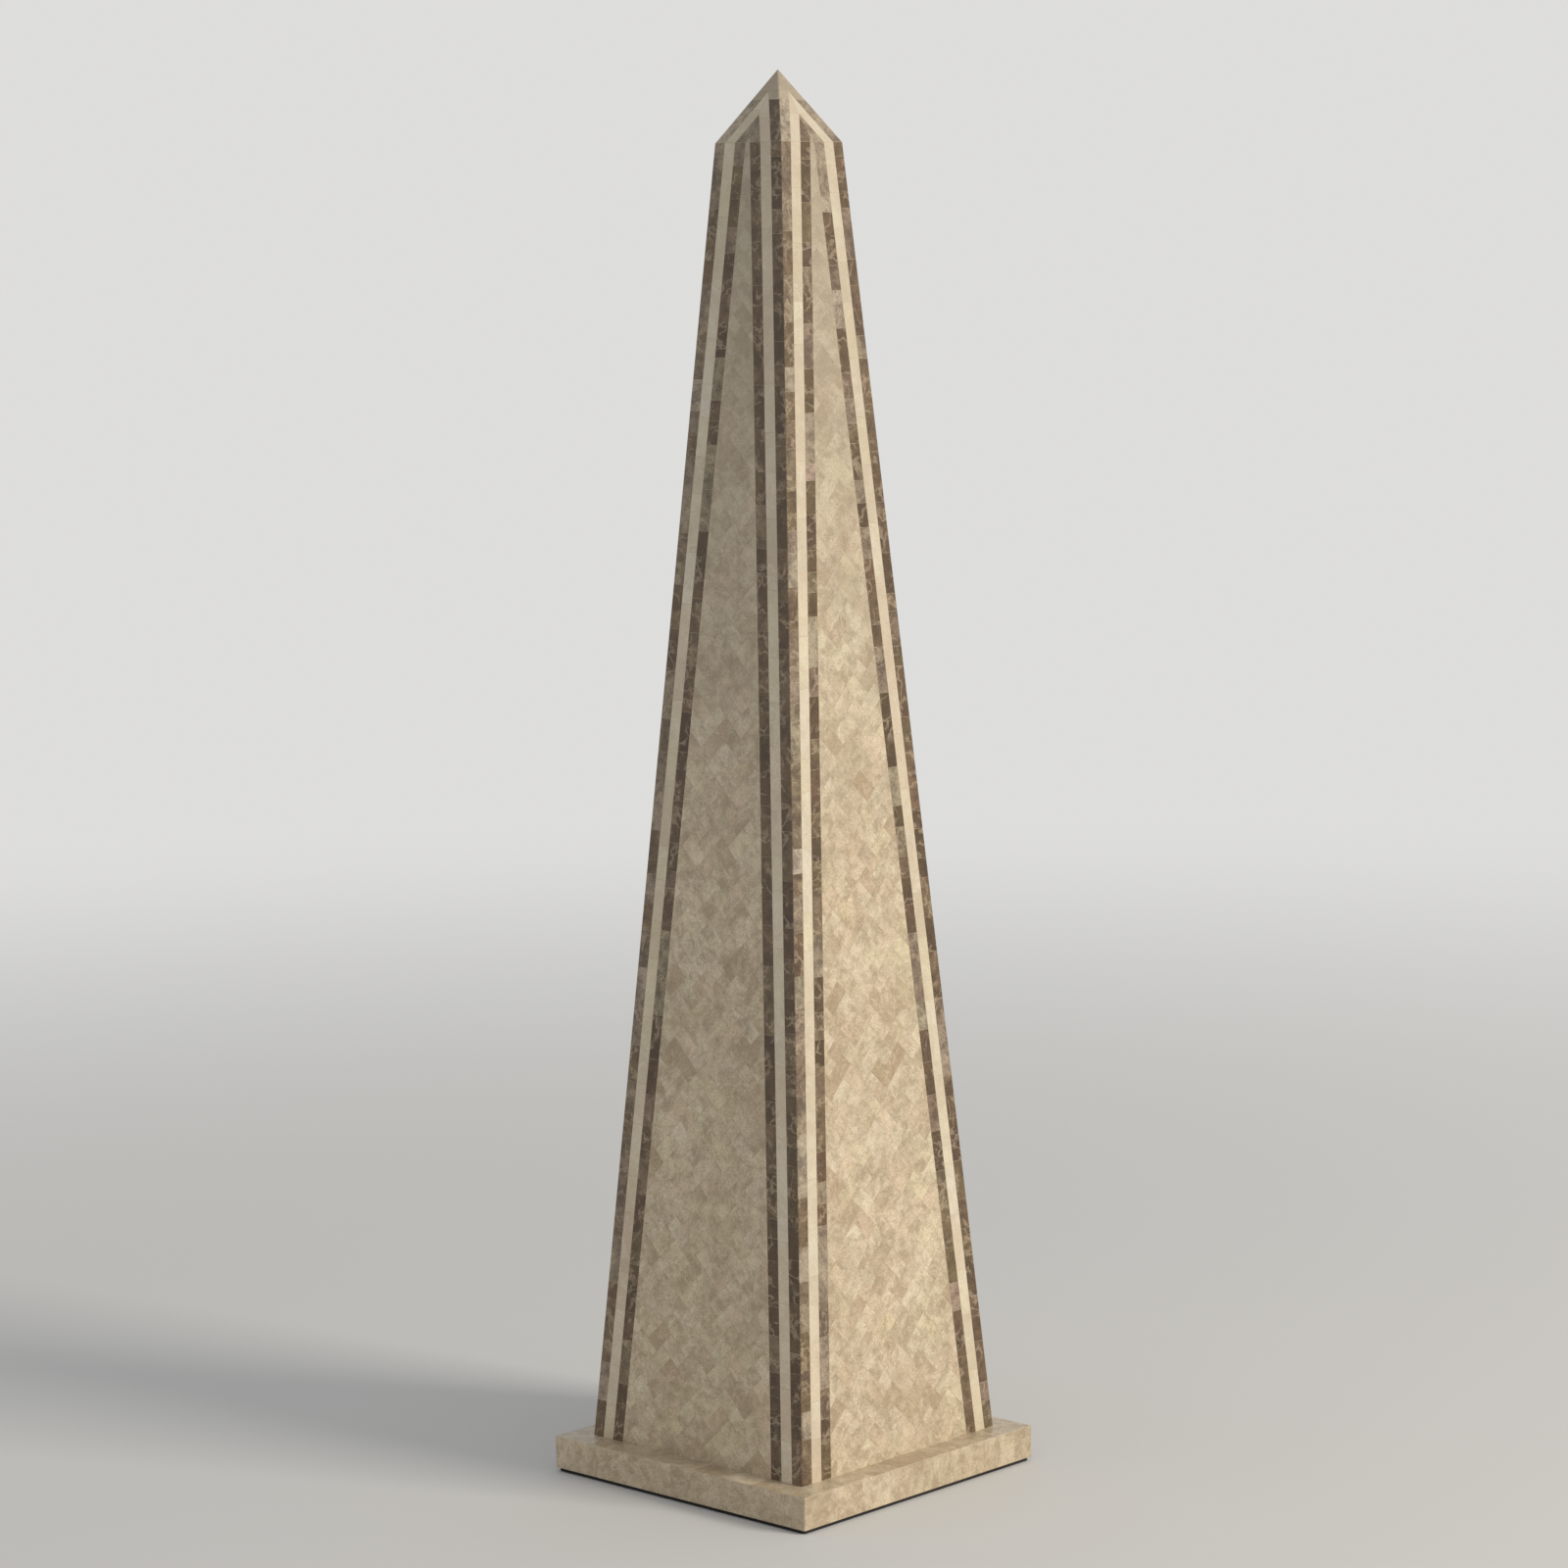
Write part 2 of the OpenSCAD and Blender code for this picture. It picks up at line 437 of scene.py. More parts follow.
def fillerMaterial(look):
    material, tree, shader = newMaterial("joint_filler")
    place = addNode(tree, "ShaderNodeTexCoord").outputs["Object"]
    scales = {"Patch Scale": look["patchScale"], "Grain Scale": look["grainScale"]}
    figure = useGroup(tree, figureGroup, {"Place": place, **scales})
    colour = blendColours(tree, figure["Patches"], look["pale"], look["dark"])
    tree.links.new(colour, shader["Base Color"])
    tree.links.new(spread(tree, figure["Grain"], *noiseRange, *look["roughness"]), shader["Roughness"])
    addBump(tree, figure["Grain"], look["bump"], look["relief"], shader)
    return material


# Bare plywood: long grain on its faces, with darker late wood and faint marks.
plywoodLook = {
    "pale": paint(0.80, 0.68, 0.50),
    "dark": paint(0.66, 0.51, 0.34),
    "grainStretch": (9, 160, 160),
    "grainFrom": 0.32,
    "grainTo": 0.68,
    "markScale": 12,
    "markShare": 0.25,
    "roughness": (0.62, 0.78),
    "bump": 0.3,
    "relief": 0.1 * mm,
}


def plywoodMaterial(look):
    material, tree, shader = newMaterial("plywood")
    place = addNode(tree, "ShaderNodeTexCoord").outputs["Object"]
    stretch = addNode(tree, "ShaderNodeMapping", inputs={"Vector": place, "Scale": look["grainStretch"]})
    rings = noise(tree, stretch.outputs[0], 1.0, detail=5, roughness=0.6, distortion=0.9)
    marks = useGroup(tree, marksAndTopGroup, {"Place": place, "Mark Scale": look["markScale"]})
    grain = spread(tree, rings, look["grainFrom"], look["grainTo"], smooth=True)
    colour = blendColours(tree, grain, look["pale"], look["dark"])
    marked = arithmetic(tree, "MULTIPLY", marks["Marks"], look["markShare"])
    colour = blendColours(tree, marked, colour, look["dark"])
    tree.links.new(colour, shader["Base Color"])
    tree.links.new(spread(tree, grain, 0, 1, *look["roughness"]), shader["Roughness"])
    addBump(tree, grain, look["bump"], look["relief"], shader)
    return material


# The pad's dark felt, with pale lint on it.
feltLook = {
    "dark": paint(0.07, 0.062, 0.056),
    "pale": paint(0.14, 0.125, 0.115),
    "fibreScale": 1400,
    "fibresFrom": 0.35,
    "fibresTo": 0.65,
    "lintScale": 30,
    "lintShare": 0.25,
    "roughness": 0.95,
    "sheen": 0.12,
    "bump": 0.8,
    "relief": 0.3 * mm,
}


def feltMaterial(look):
    material, tree, shader = newMaterial("pad_felt")
    place = addNode(tree, "ShaderNodeTexCoord").outputs["Object"]
    fibres = noise(tree, place, look["fibreScale"], detail=4, roughness=0.7, distortion=2.0)
    lint = useGroup(tree, marksAndTopGroup, {"Place": place, "Mark Scale": look["lintScale"]})
    combed = spread(tree, fibres, look["fibresFrom"], look["fibresTo"])
    colour = blendColours(tree, combed, look["dark"], look["pale"])
    dusted = arithmetic(tree, "MULTIPLY", lint["Marks"], look["lintShare"])
    colour = blendColours(tree, dusted, colour, look["pale"])
    tree.links.new(colour, shader["Base Color"])
    shader["Roughness"].default_value = look["roughness"]
    shader["Sheen Weight"].default_value = look["sheen"]
    addBump(tree, fibres, look["bump"], look["relief"], shader)
    return material


beigeStone = stoneMaterial("beige_stone", beigeLook)
creamStone = stoneMaterial("cream_stone", creamLook)
brownStone = stoneMaterial("brown_stone", brownLook)
jointFiller = fillerMaterial(fillerLook)
plywood = plywoodMaterial(plywoodLook)
padFelt = feltMaterial(feltLook)
print("materials made:", len(bpy.data.materials))


# How the stones are cut and laid.
cutting = {
    "seam": 0.05 * mm,
    "hairline": 0.03 * mm,
    "bevel": 0.08 * mm,
    "arrisBevel": 0.55 * mm,
    "bevelDepth": 0.3 * mm,
    "rimWidth": 1.2 * mm,
    "rimShares": (1, 0.7, 0.45, 0.25, 0.1),  # narrower rims, tried in turn on stones too small for the whole
    "edgeWear": 0.4,
    "fillerDepth": 0.11 * mm,
    "backing": 0.1 * mm,
    "shortestEdge": 0.8 * mm,
    "leastEdge": 0.02 * mm,
    "leastTurn": 0.03,
    "lastShare": 0.6,  # of the shortest length, for the last stone of a run
    "lipping": 0.05 * mm,
    "bedding": (0.8, 1, 1),  # less than 1 draws a stone's figure out along that axis of the slab
    "slabTilt": 0.4,
}
bedding = Matrix.Diagonal(cutting["bedding"])
anyTone = (0, 1)


# A flat face of the object, seen square on: u runs across it, v up its slope, depth into it.
def makeFace(foot, level, tilt):
    # how fast a mitred edge and a level edge move inwards with depth
    mitre = math.cos(tilt) / math.hypot(1, math.sin(tilt))
    lean = math.tan(tilt) if tilt < math.pi / 2 else 0
    return {
        "origin": Vector((0, -foot, level)),
        "up": Vector((0, math.sin(tilt), math.cos(tilt))),
        "out": Vector((0, -math.cos(tilt), math.sin(tilt))),
        # each kind of edge: its gap at the surface, the gap gained with depth, and its bevel
        "edges": {
            "joint": (cutting["seam"], 0, cutting["bevel"]),
            "arris": (cutting["hairline"], mitre, cutting["arrisBevel"]),
            "rim": (cutting["hairline"], 1, cutting["arrisBevel"]),
            "foot": (cutting["seam"], lean, cutting["bevel"]),
            "shoulder": (cutting["seam"], -lean, cutting["bevel"]),
        },
    }


def onFace(face, corner, depth):
    return face["origin"] + Vector((corner.x, 0, 0)) + face["up"] * corner.y - face["out"] * depth


shaftFace = makeFace(footHalf, plinthLevel, shaftTilt)
capFace = makeFace(shoulderHalf, shoulder, capTilt)
edgeFace = makeFace(plinthHalf, plinthFoot, 0)
ledgeFace = makeFace(plinthHalf, plinthLevel, math.pi / 2)


# An outline is convex and runs anticlockwise. Each entry is a corner and the kind of the edge that leaves it.
def clipOutline(outline, point, inward, kind):
    kept = []
    for index, (here, edge) in enumerate(outline):
        there = outline[(index + 1) % len(outline)][0]
        fromHere = (here - point).dot(inward)
        fromThere = (there - point).dot(inward)
        if fromHere >= 0:
            kept.append((here, edge))
        if (fromHere >= 0) != (fromThere >= 0):
            crossing = here.lerp(there, fromHere / (fromHere - fromThere))
            kept.append((crossing, kind if fromHere >= 0 else edge))
    return kept


def mirrorOutline(outline):
    flipped = [
        (Vector((-corner.x, corner.y)), edgeBefore)
        for (corner, edge), (cornerBefore, edgeBefore) in zip(outline, outline[-1:] + outline)
    ]
    return [flipped[0]] + flipped[:0:-1]


def makeOutline(*corners):
    return [(Vector((u, v)), kind) for u, v, kind in corners]


def closeShortEdges(outline):
    corners = list(outline)
    index = 0
    while len(corners) > 3 and index < len(corners):
        following = (index + 1) % len(corners)
        here, there = corners[index][0], corners[following][0]
        if (there - here).length < cutting["shortestEdge"]:
            corners[index] = ((here + there) / 2, corners[following][1])
            del corners[following]
            index = 0
        else:
            index += 1
    return corners


def insetRing(outline, offsets):
    # moves each edge in by its own offset, or returns None where an edge would vanish
    lines = []
    for index, (here, edge) in enumerate(outline):
        along = (outline[(index + 1) % len(outline)][0] - here).normalized()
        lines.append((here + Vector((-along.y, along.x)) * offsets[index], along))
    ring = []
    for (before, alongBefore), (after, alongAfter) in zip(lines[-1:] + lines, lines):
        turn = alongBefore.cross(alongAfter)
        reach = (after - before).cross(alongAfter) / turn if abs(turn) > cutting["leastTurn"] else 0
        ring.append(before + alongBefore * reach if reach else after)
    for index, (start, along) in enumerate(lines):
        if (ring[(index + 1) % len(ring)] - ring[index]).dot(along) < cutting["leastEdge"]:
            return None
    return ring


def newStones():
    return {"points": [], "faces": [], "slots": [], "layout": [], "tone": [], "tint": [], "rim": [],
            "slab": [], "islands": []}


def addPrism(stones, face, rings, slots, island, look):
    # joins rings of corners, from the middle of the surface out and down to the back, into one closed solid
    count = len(rings[0]["corners"])
    first = len(stones["points"])
    for ring in rings:
        for corner, depth in zip(ring["corners"], ring["depths"]):
            stones["points"].append(onFace(face, corner, depth))
            stones["tone"].append(look["tone"])
            stones["tint"].append(look["tint"])
            stones["rim"].append(ring["rim"])
            turned = look["turn"] @ Vector((corner.x, corner.y, -depth))
            stones["slab"].append(look["place"] + bedding @ turned)
    loops = [(list(range(count)), False)]
    for level in range(len(rings) - 1):
        inner, outer = level * count, (level + 1) * count
        hidden = level == len(rings) - 2
        for index in range(count):
            following = (index + 1) % count
            loops.append(([outer + index, outer + following, inner + following, inner + index], hidden))
    back = (len(rings) - 1) * count
    loops.append(([back + index for index in reversed(range(count))], True))
    flat = [corner for ring in rings for corner in ring["corners"]]
    for loop, hidden in loops:
        stones["faces"].append([first + index for index in loop])
        stones["slots"].append(slots[1] if hidden else slots[0])
        stones["layout"].append((None if hidden else island, [flat[index] for index in loop]))


def layStone(stones, face, outline, rng, laidAt=0.0, slots=(0, 1), tones=anyTone):
    outline = closeShortEdges(outline)
    if len(outline) < 3:
        return
    kinds = [face["edges"][edge] for corner, edge in outline]
    bevelDepth, backDepth = cutting["bevelDepth"], veneer - cutting["backing"]
    foot = [gap + slope * bevelDepth for gap, slope, bevel in kinds]
    brink = [offset + bevel for offset, (gap, slope, bevel) in zip(foot, kinds)]
    back = [gap + slope * backDepth for gap, slope, bevel in kinds]
    footRing, brinkRing, backRing = (insetRing(outline, offsets) for offsets in (foot, brink, back))
    innerRing = None
    for share in cutting["rimShares"]:
        if innerRing is None:
            innerRing = insetRing(outline, [offset + share * cutting["rimWidth"] for offset in brink])
    if None in (footRing, brinkRing, backRing, innerRing):
        return
    # a stone with no edge on an arris or a rim leans a little, so that it isn't quite flush with the next
    middle = sum(innerRing, Vector((0, 0))) / len(innerRing)
    reach = max((corner - middle).length for corner in brinkRing)
    flush = any(edge in ("arris", "rim") for corner, edge in outline)
    mostLean = 0 if flush else 0.5 * cutting["lipping"] / reach
    lean = Vector((rng.uniform(-1, 1), rng.uniform(-1, 1))) * mostLean
    low = lean.length * reach

    def sunk(ring):
        return [low + lean.dot(corner - middle) for corner in ring]

    # where in the slab the stone was cut, which gives it a figure of its own
    tilt = cutting["slabTilt"]
    look = {
        "tone": rng.uniform(*tones),
        "tint": 0.5 + (tones[1] - tones[0]) * rng.uniform(-0.5, 0.5),
        "place": Vector((rng.uniform(-1, 1), rng.uniform(-1, 1), rng.uniform(-1, 1))),
    }
    angles = (rng.uniform(-tilt, tilt), rng.uniform(-tilt, tilt), rng.uniform(0, 2 * math.pi))
    look["turn"] = Euler(angles).to_matrix()
    rings = [
        {"corners": innerRing, "depths": sunk(innerRing), "rim": 0.0},
        {"corners": brinkRing, "depths": sunk(brinkRing), "rim": cutting["edgeWear"]},
        {"corners": footRing, "depths": [bevelDepth] * len(footRing), "rim": 1.0},
        {"corners": backRing, "depths": [backDepth] * len(backRing), "rim": 1.0},
    ]
    stones["islands"].append({"ring": footRing, "turn": Matrix.Rotation(-laidAt, 2)})
    addPrism(stones, face, rings, slots, len(stones["islands"]) - 1, look)


def layFiller(stones, face, outline):
    # the bed of filler behind the stones, which shows in their joints
    kinds = [face["edges"][edge] for corner, edge in outline]
    surface = [
        gap + slope * cutting["bevelDepth"] + bevel if edge in ("arris", "rim") else 0
        for (gap, slope, bevel), (corner, edge) in zip(kinds, outline)
    ]
    backDepth = veneer - cutting["backing"]
    back = [gap + slope * backDepth for gap, slope, bevel in kinds]
    look = {"tone": 0.5, "tint": 0.5, "place": Vector((0, 0, 0)), "turn": Matrix.Identity(3)}
    rings = [
        {"corners": insetRing(outline, offsets), "depths": [depth] * len(outline), "rim": 1.0}
        for offsets, depth in ((surface, cutting["fillerDepth"]), (back, backDepth))
    ]
    addPrism(stones, face, rings, (1, 1), None, look)


# A piece's map has its stones in rows, the tallest first, above a margin for what is hidden.
mapLayout = {
    "gap": 0.005,
    "left": 0.004,
    "right": 0.996,
    "foot": 0.08,
    "top": 0.996,
    "margin": 0.01,
    "shrink": 0.97,
}


def boxOf(corners):
    low = Vector((min(corner.x for corner in corners), min(corner.y for corner in corners)))
    high = Vector((max(corner.x for corner in corners), max(corner.y for corner in corners)))
    return low, high - low


def packIslands(islands):
    gap, left, right, foot, top = (mapLayout[key] for key in ("gap", "left", "right", "foot", "top"))
    sizes = []
    for island in islands:
        low, size = boxOf([island["turn"] @ corner for corner in island["ring"]])
        island["low"] = low
        island["upright"] = size.y > size.x
        sizes.append((size.y, size.x) if island["upright"] else (size.x, size.y))
    order = sorted(range(len(islands)), key=lambda index: -sizes[index][1])
    scale = math.sqrt((right - left) * (top - foot) / sum(width * height for width, height in sizes))
    while True:
        x, y, shelf, wide = left, foot, 0, 0
        for index in order:
            width, height = sizes[index][0] * scale + gap, sizes[index][1] * scale + gap
            wide = max(wide, width)
            if x + width > right:
                x, y, shelf = left, y + shelf, 0
            shelf = max(shelf, height)
            islands[index]["corner"] = Vector((x, y))
            x += width
        if y + shelf <= top and wide <= right - left:
            return scale
        scale *= mapLayout["shrink"]


def placeOnMap(island, corner, scale):
    flat = (island["turn"] @ corner - island["low"]) * scale
    if island["upright"]:
        flat = Vector((flat.y, flat.x))
    return island["corner"] + flat


def makePiece(name, stones, materials, side):
    mesh = bpy.data.meshes.new(name)
    mesh.from_pydata(stones["points"], [], stones["faces"])
    mesh.transform(Matrix.Rotation(sides.index(side) * math.pi / 2, 4, "Z"))
    for material in materials:
        mesh.materials.append(material)
    mesh.polygons.foreach_set("material_index", stones["slots"])
    for label, key in (("stoneTone", "tone"), ("stoneTint", "tint"), ("stoneRim", "rim")):
        mesh.attributes.new(label, "FLOAT", "POINT").data.foreach_set("value", stones[key])
    slab = mesh.attributes.new("slabPlace", "FLOAT_VECTOR", "POINT")
    slab.data.foreach_set("vector", [number for place in stones["slab"] for number in place])
    scale = packIslands(stones["islands"])
    hidden = [corner for island, corners in stones["layout"] if island is None for corner in corners]
    low, size = boxOf(hidden)
    margin = mapLayout["margin"]
    width, height = 1 - 2 * margin, mapLayout["foot"] - 2 * margin
    coordinates = []
    for island, corners in stones["layout"]:
        for corner in corners:
            if island is None:
                share = corner - low
                place = Vector((margin + width * share.y / size.y, margin + height * share.x / size.x))
            else:
                place = placeOnMap(stones["islands"][island], corner, scale)
            coordinates.extend(place)
    mesh.uv_layers.new(name="OFBake").uv.foreach_set("vector", coordinates)
    piece = bpy.data.objects.new(name, mesh)
    bpy.context.scene.collection.objects.link(piece)
    return piece


# The four faces of the shaft: a herringbone field between three pairs of strips.
shaftLooks = {
    "fieldStone": (26 * mm, 15 * mm),
    "fieldTurn": math.radians(45),
    "wander": 0.07 * mm,
    "brownLengths": (15 * mm, 46 * mm),
    "creamLengths": (28 * mm, 62 * mm),
    "jointSkew": math.radians(1.5),
    # how light the stones of a piece's right and left strips are, where not the whole range
    "tones": {
        "front_corner_strips": ((0.05, 0.85), (0.4, 1)),
        "left_corner_strips": ((0, 0.6), (0.4, 0.95)),
        "left_inner_strips": ((0, 0.7), (0, 0.85)),
    },
}


def shaftHalf(v, strips):
    return footHalf - (footHalf - shoulderHalf) * v / shaftLength - strips * stripWidth


def herringboneCells(long, wide, turn, low, high, rng):
    # the corners of each stone that may touch the box from low to high
    cells = []
    start = Vector((rng.uniform(-long, long), rng.uniform(-long, long)))
    rotation = Matrix.Rotation(turn, 2)
    count = int((high - low).length / wide) + 2
    for i in range(-count, count):
        for j in range(-count, count):
            base = Vector((i * wide - j * long, i * wide + j * long))
            for x0, y0, x1, y1 in ((0, 0, long, wide), (0, wide, wide, wide + long)):
                middle = rotation @ (base + Vector((x0 + x1, y0 + y1)) / 2) + start
                nearAcross = low.x - long < middle.x < high.x + long
                nearUp = low.y - long < middle.y < high.y + long
                if not (nearAcross and nearUp):
                    continue
                drift = Vector((rng.uniform(-1, 1), rng.uniform(-1, 1))) * shaftLooks["wander"]
                corners = [(x0, y0), (x1, y0), (x1, y1), (x0, y1)]
                cells.append([rotation @ (base + Vector(corner)) + start + drift for corner in corners])
    return cells


def clipToCell(outline, cell):
    for index, corner in enumerate(cell):
        along = (cell[(index + 1) % len(cell)] - corner).normalized()
        outline = clipOutline(outline, corner, Vector((-along.y, along.x)), "joint")
        if len(outline) < 3:
            return []
    return outline


def layField(side):
    rng = random.Random(side + "field")
    look = shaftLooks
    outline = makeOutline(
        (-shaftHalf(0, 3), 0, "foot"),
        (shaftHalf(0, 3), 0, "joint"),
        (shaftHalf(shaftLength, 3), shaftLength, "shoulder"),
        (-shaftHalf(shaftLength, 3), shaftLength, "joint"),
    )
    stones = newStones()
    layFiller(stones, shaftFace, outline)
    low, high = Vector((-shaftHalf(0, 3), 0)), Vector((shaftHalf(0, 3), shaftLength))
    for cell in herringboneCells(*look["fieldStone"], look["fieldTurn"], low, high, rng):
        layStone(stones, shaftFace, clipToCell(outline, cell), rng, look["fieldTurn"])
    return makePiece(side + "_field_stones", stones, [beigeStone, jointFiller], side)


def cutRun(stones, face, outline, start, end, along, lengths, rng, skew=0.0, tones=anyTone):
    # cuts an outline into a run of stones along a direction, with joints square to it
    level = start
    lines = [start]
    while level < end - lengths[0]:
        level += rng.uniform(*lengths)
        lines.append(level if end - level > lengths[0] * cutting["lastShare"] else end)
        level = lines[-1]
    if lines[-1] < end:
        lines.append(end)
    tilts = [rng.uniform(-skew, skew) for line in lines]
    middle = sum((corner for corner, kind in outline), Vector((0, 0))) / len(outline)
    across = Vector((-along.y, along.x))
    for index in range(len(lines) - 1):
        stone = outline
        for line, tilt, sense in ((index, tilts[index], 1), (index + 1, tilts[index + 1], -1)):
            if 0 < line < len(lines) - 1:
                point = along * lines[line] + across * middle.dot(across)
                stone = clipOutline(stone, point, (Matrix.Rotation(tilt, 2) @ along) * sense, "joint")
        layStone(stones, face, stone, rng, tones=tones)


def layStrips(side, piece, outer, material, lengths):
    rng = random.Random(side + piece)
    inner = outer + 1
    outline = makeOutline(
        (shaftHalf(0, inner), 0, "foot"),
        (shaftHalf(0, outer), 0, "joint" if outer else "arris"),
        (shaftHalf(shaftLength, outer), shaftLength, "shoulder"),
        (shaftHalf(shaftLength, inner), shaftLength, "joint"),
    )
    stones = newStones()
    skew = shaftLooks["jointSkew"]
    bothTones = shaftLooks["tones"].get(f"{side}_{piece}", (anyTone, anyTone))
    for strip, tones in zip((outline, mirrorOutline(outline)), bothTones):
        layFiller(stones, shaftFace, strip)
        cutRun(stones, shaftFace, strip, 0, shaftLength, Vector((0, 1)), lengths, rng, skew, tones)
    return makePiece(f"{side}_{piece}_stones", stones, [material, jointFiller], side)


# The four faces of the cap: chevrons that carry the strips on to the tip.
capLooks = {
    "legLengths": (20 * mm, 34 * mm),
    "tipHeight": 23 * mm,
    "tipTones": (0, 0.1),
    "collarHeight": 9 * mm,
    # how light the stones of a piece's right and left legs are, where not the whole range
    "tones": {
        "front_cap_border": ((0.86, 1), (0.9, 1)),
        "left_cap_border": ((0, 0.4), (0.86, 1)),
        "front_cap_centre": ((0.8, 1), (0.4, 0.65)),
        "left_cap_centre": ((0.7, 0.9), (0.7, 0.9)),
    },
}


def capHalf(v, strips):
    return shoulderHalf * (1 - v / capLength) - strips * stripWidth


def capPoint(strips):
    return capLength * (1 - strips * stripWidth / shoulderHalf)


def capLeg(outer):
    # the right-hand leg of a chevron, down from the middle of the face
    inner = outer + 1
    return makeOutline(
        (capHalf(0, inner), 0, "foot"),
        (capHalf(0, outer), 0, "joint" if outer else "arris"),
        (0, capPoint(outer), "joint"),
        (0, capPoint(inner), "joint"),
    )


def capTriangle(strips, kind):
    half = capHalf(0, strips)
    return makeOutline((-half, 0, "foot"), (half, 0, kind), (0, capPoint(strips), kind))


def layCapPiece(side, piece, outer, material):
    rng = random.Random(side + piece)
    stones = newStones()
    leg = capLeg(outer)
    tipLevel = capPoint(0) - capLooks["tipHeight"]
    collarLevel = tipLevel - capLooks["collarHeight"]
    down = Vector((0, -1))
    bothTones = capLooks["tones"].get(f"{side}_{piece}", (anyTone, anyTone))
    for strip, tones in zip((leg, mirrorOutline(leg)), bothTones):
        layFiller(stones, capFace, strip)
        if outer == 0:
            # stones like the tip's, and under them the rest of the border
            collar = clipOutline(strip, Vector((0, tipLevel)), down, "joint")
            collar = clipOutline(collar, Vector((0, collarLevel)), -down, "joint")
            layStone(stones, capFace, collar, rng, slots=(2, 1), tones=capLooks["tipTones"])
            strip = clipOutline(strip, Vector((0, collarLevel)), down, "joint")
        top = collarLevel if outer == 0 else capPoint(outer)
        cutRun(stones, capFace, strip, 0, top, Vector((0, 1)), capLooks["legLengths"], rng, tones=tones)
    if outer == 0:
        point = clipOutline(capTriangle(0, "arris"), Vector((0, tipLevel)), -down, "joint")
        layStone(stones, capFace, point, rng, slots=(2, 1), tones=capLooks["tipTones"])
    if outer == 2:
        layStone(stones, capFace, capTriangle(3, "joint"), rng, slots=(2, 1))
    return makePiece(f"{side}_{piece}_stones", stones, [material, jointFiller, beigeStone], side)


# The plinth: one course of larger stones round its top and its edge.
# its stones keep to a narrow range of tones, as the plinth is even in colour, and to the darker end of the
# beige as painted shade, against the light the floor throws up
plinthLooks = {"topLengths": (28 * mm, 60 * mm), "edgeLengths": (30 * mm, 62 * mm), "tones": (0.02, 0.5)}


def layCourse(side, piece, face, outline, lengths):
    rng = random.Random(side + piece)
    stones = newStones()
    layFiller(stones, face, outline)
    across, tones = Vector((1, 0)), plinthLooks["tones"]
    cutRun(stones, face, outline, -plinthHalf, plinthHalf, across, lengths, rng, tones=tones)
    return makePiece(f"{side}_{piece}_stones", stones, [beigeStone, jointFiller], side)


def layPlinthTop(side):
    inner = plinthHalf - plinthLedge
    outline = makeOutline(
        (-plinthHalf, 0, "rim"),
        (plinthHalf, 0, "joint"),
        (inner, plinthLedge, "joint"),
        (-inner, plinthLedge, "joint"),
    )
    return layCourse(side, "plinth_top", ledgeFace, outline, plinthLooks["topLengths"])


def layPlinthEdge(side):
    height = plinthLevel - plinthFoot
    outline = makeOutline(
        (-plinthHalf, 0, "foot"),
        (plinthHalf, 0, "arris"),
        (plinthHalf, height, "rim"),
        (-plinthHalf, height, "arris"),
    )
    return layCourse(side, "plinth_edge", edgeFace, outline, plinthLooks["edgeLengths"])


def keep(piece, node):
    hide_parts(node)
    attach(piece, "root")


brownRun, creamRun = shaftLooks["brownLengths"], shaftLooks["creamLengths"]
for side in sides:
    keep(layField(side), side + "_field")
    keep(layStrips(side, "inner_strips", 2, brownStone, brownRun), side + "_inner_strips")
    keep(layStrips(side, "cream_strips", 1, creamStone, creamRun), side + "_cream_strips")
    keep(layStrips(side, "corner_strips", 0, brownStone, brownRun), side + "_corner_strips")
    keep(layCapPiece(side, "cap_centre", 2, brownStone), side + "_cap_centre")
    keep(layCapPiece(side, "cap_band", 1, creamStone), side + "_cap_band")
    keep(layCapPiece(side, "cap_border", 0, brownStone), side + "_cap_border")
    keep(layPlinthTop(side), side + "_plinth_top")
    keep(layPlinthEdge(side), side + "_plinth_edge")
    print("stones laid on the", side)


# The felt pad under the plinth, with rounded corners and soft edges.
padLook = {"cornerRadius": 3 * mm, "edgeRadius": 0.4 * mm, "cornerSteps": 8, "edgeSteps": 3, "roundness": 0.5}


def roundEdges(shape, edges, radius, steps):
    bmesh.ops.bevel(
        shape, geom=edges, offset=radius, segments=steps, affect="EDGES", profile=padLook["roundness"])


def makePad(look):
    low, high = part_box("base_pad")
    shape = bmesh.new()
    bmesh.ops.create_cube(shape, size=1)
    for corner in shape.verts:
        corner.co = [low[axis] if corner.co[axis] < 0 else high[axis] for axis in range(3)]

    def stands(edge):
        return abs(edge.verts[0].co.z - edge.verts[1].co.z) > mm

    uprights = [edge for edge in shape.edges if stands(edge)]
    roundEdges(shape, uprights, look["cornerRadius"], look["cornerSteps"])
    rims = [edge for edge in shape.edges if not stands(edge)]
    roundEdges(shape, rims, look["edgeRadius"], look["edgeSteps"])
    mesh = bpy.data.meshes.new("felt_pad")
    shape.to_mesh(mesh)
    shape.free()
    mesh.shade_smooth()
    mesh.materials.append(padFelt)
    pad = bpy.data.objects.new("felt_pad", mesh)
    bpy.context.scene.collection.objects.link(pad)
    return pad


keep(makePad(padLook), "base_pad")

# The wooden carcass keeps its CAD shape.
for node in [side + "_board" for side in sides] + ["plinth_board", "cap_block"]:
    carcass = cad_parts[node]
    carcass.data.materials.clear()
    carcass.data.materials.append(plywood)
print("pad and carcass finished")


